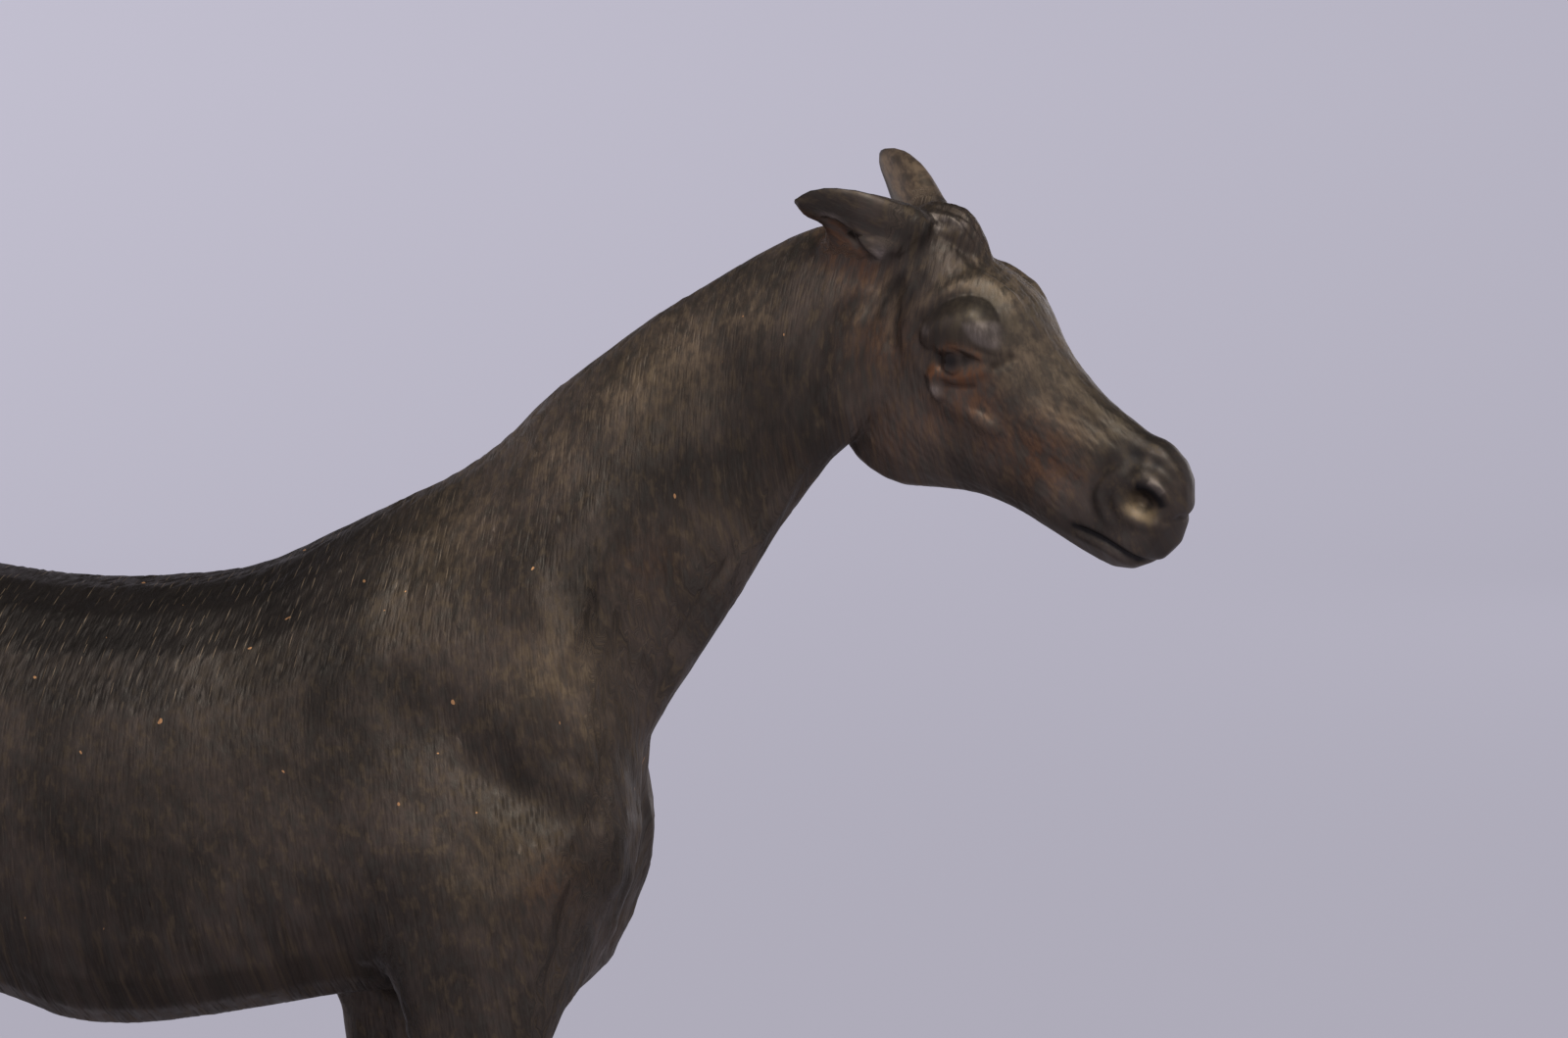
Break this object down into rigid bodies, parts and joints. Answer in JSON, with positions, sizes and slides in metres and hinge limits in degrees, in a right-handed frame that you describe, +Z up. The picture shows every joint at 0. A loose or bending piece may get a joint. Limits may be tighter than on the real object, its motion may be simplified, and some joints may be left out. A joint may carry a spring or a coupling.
{
  "type": "horse statuette on a plinth",
  "caption": "Cast bronze statuette of a standing horse, its head turned a little to its right, on a low rectangular plinth.",
  "frame": {"origin": "centre of the plinth's underside", "axes": "+X towards the muzzle, +Y to the horse's left, +Z up"},
  "size_m": [0.3377, 0.084, 0.2983],
  "materials": {
    "dark_bronze": "dark brown patina over chiselled hair, semi-matt",
    "plinth_bronze": "dark brown patina, semi-matt"
  },
  "bodies": {
    "root": {"horse": "dark_bronze", "plinth": "plinth_bronze"}
  },
  "joints": []
}
